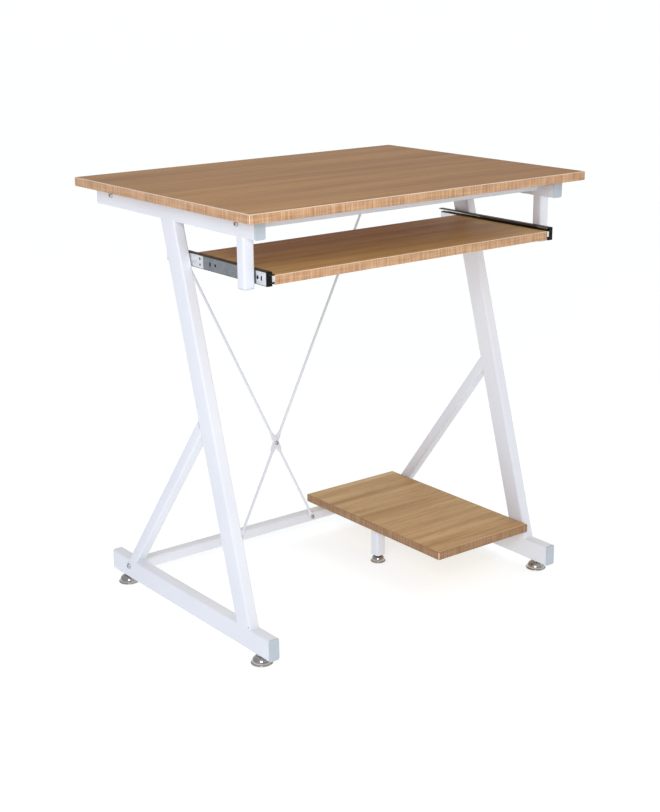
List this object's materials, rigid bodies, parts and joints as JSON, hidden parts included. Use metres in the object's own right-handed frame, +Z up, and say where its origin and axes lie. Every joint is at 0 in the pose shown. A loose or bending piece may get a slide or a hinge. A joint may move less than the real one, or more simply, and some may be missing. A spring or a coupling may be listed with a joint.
{
  "type": "computer desk",
  "caption": "Small wood-topped computer desk on Z-shaped white tube frames, with a pull-out keyboard tray, a low shelf for a computer and crossed rods at the back.",
  "frame": {"origin": "on the floor under the middle of the desktop", "axes": "+X to the right as the user faces the desk (the low shelf is on the +X side), +Y to the rear, +Z up"},
  "size_m": [0.7, 0.525, 0.74],
  "materials": {
    "wood_laminate": "light oak laminate, satin",
    "white_powder_coat": "satin white powder coat on steel tube",
    "white_plastic": "moulded end cap, satin",
    "black_plastic": "moulded stop, satin",
    "zinc_slide": "bright zinc-plated pressed steel",
    "bolt_steel": "zinc-plated fastener",
    "chrome_glide": "chromed pressed foot"
  },
  "bodies": {
    "frame": {"brace_centre_rivet": "bolt_steel", "brace_rod_rising_left": "white_powder_coat", "brace_rod_rising_right": "white_powder_coat", "cpu_shelf": "wood_laminate", "desktop_panel": "wood_laminate", "foot_bolt_left": "bolt_steel", "foot_bolt_right": "bolt_steel", "foot_cap_front_left": "white_plastic", "foot_cap_front_right": "white_plastic", "foot_cap_rear_left": "white_plastic", "foot_cap_rear_right": "white_plastic", "foot_rail_left": "white_powder_coat", "foot_rail_right": "white_powder_coat", "lower_crossbar": "white_powder_coat", "main_leg_left": "white_powder_coat", "main_leg_right": "white_powder_coat", "post_cap_left": "white_plastic", "post_cap_right": "white_plastic", "rear_brace_left": "white_powder_coat", "rear_brace_right": "white_powder_coat", "rod_bolt_foot_rising_left": "bolt_steel", "rod_bolt_foot_rising_right": "bolt_steel", "rod_bolt_top_rising_left": "bolt_steel", "rod_bolt_top_rising_right": "bolt_steel", "shelf_bracket": "white_powder_coat", "shelf_bracket_bolt": "bolt_steel", "shelf_leg": "white_powder_coat", "shelf_spacer_left": "white_plastic", "shelf_spacer_right": "white_plastic", "shelf_support_rail": "white_powder_coat", "slide_bumper_left": "black_plastic", "slide_bumper_right": "black_plastic", "slide_outer_left": "zinc_slide", "slide_outer_right": "zinc_slide", "slide_post_left": "white_powder_coat", "slide_post_right": "white_powder_coat", "top_bolt_front_left": "bolt_steel", "top_bolt_front_right": "bolt_steel", "top_bolt_rear_left": "bolt_steel", "top_bolt_rear_right": "bolt_steel", "top_cap_front_left": "white_plastic", "top_cap_front_right": "white_plastic", "top_cap_rear_left": "white_plastic", "top_cap_rear_right": "white_plastic", "top_crossbar_front": "white_powder_coat", "top_crossbar_rear": "white_powder_coat", "top_rail_left": "white_powder_coat", "top_rail_right": "white_powder_coat"},
    "tray": {"keyboard_tray": "wood_laminate", "slide_inner_left": "zinc_slide", "slide_inner_right": "zinc_slide"},
    "cage_left": {"ball_cage_left": "zinc_slide"},
    "cage_right": {"ball_cage_right": "zinc_slide"},
    "glide_front_left": {"glide_front_left": "chrome_glide"},
    "glide_front_right": {"glide_front_right": "chrome_glide"},
    "glide_rear_left": {"glide_rear_left": "chrome_glide"},
    "glide_rear_right": {"glide_rear_right": "chrome_glide"},
    "glide_shelf": {"glide_shelf": "chrome_glide"}
  },
  "joints": [
    {"name": "tray_slide", "type": "slide", "parent": "frame", "child": "tray", "axis": [0, -1, 0], "range_m": [0, 0.2]},
    {"name": "cage_left_roll", "type": "slide", "parent": "frame", "child": "cage_left", "axis": [0, -1, 0], "range_m": [0, 0.1]},
    {"name": "cage_right_roll", "type": "slide", "parent": "frame", "child": "cage_right", "axis": [0, -1, 0], "range_m": [0, 0.1]},
    {"name": "front_left_levelling", "type": "hinge", "parent": "frame", "child": "glide_front_left", "pos_m": [-0.313, -0.212, 0], "axis": [0, 0, 1], "continuous": true},
    {"name": "front_right_levelling", "type": "hinge", "parent": "frame", "child": "glide_front_right", "pos_m": [0.313, -0.212, 0], "axis": [0, 0, 1], "continuous": true},
    {"name": "rear_left_levelling", "type": "hinge", "parent": "frame", "child": "glide_rear_left", "pos_m": [-0.313, 0.212, 0], "axis": [0, 0, 1], "continuous": true},
    {"name": "rear_right_levelling", "type": "hinge", "parent": "frame", "child": "glide_rear_right", "pos_m": [0.313, 0.212, 0], "axis": [0, 0, 1], "continuous": true},
    {"name": "shelf_levelling", "type": "hinge", "parent": "frame", "child": "glide_shelf", "pos_m": [0.1037, -0.0025, 0], "axis": [0, 0, 1], "continuous": true}
  ],
  "couplings": [
    {"joint": "cage_left_roll", "follows": "tray_slide", "ratio": 0.5},
    {"joint": "cage_right_roll", "follows": "tray_slide", "ratio": 0.5}
  ]
}
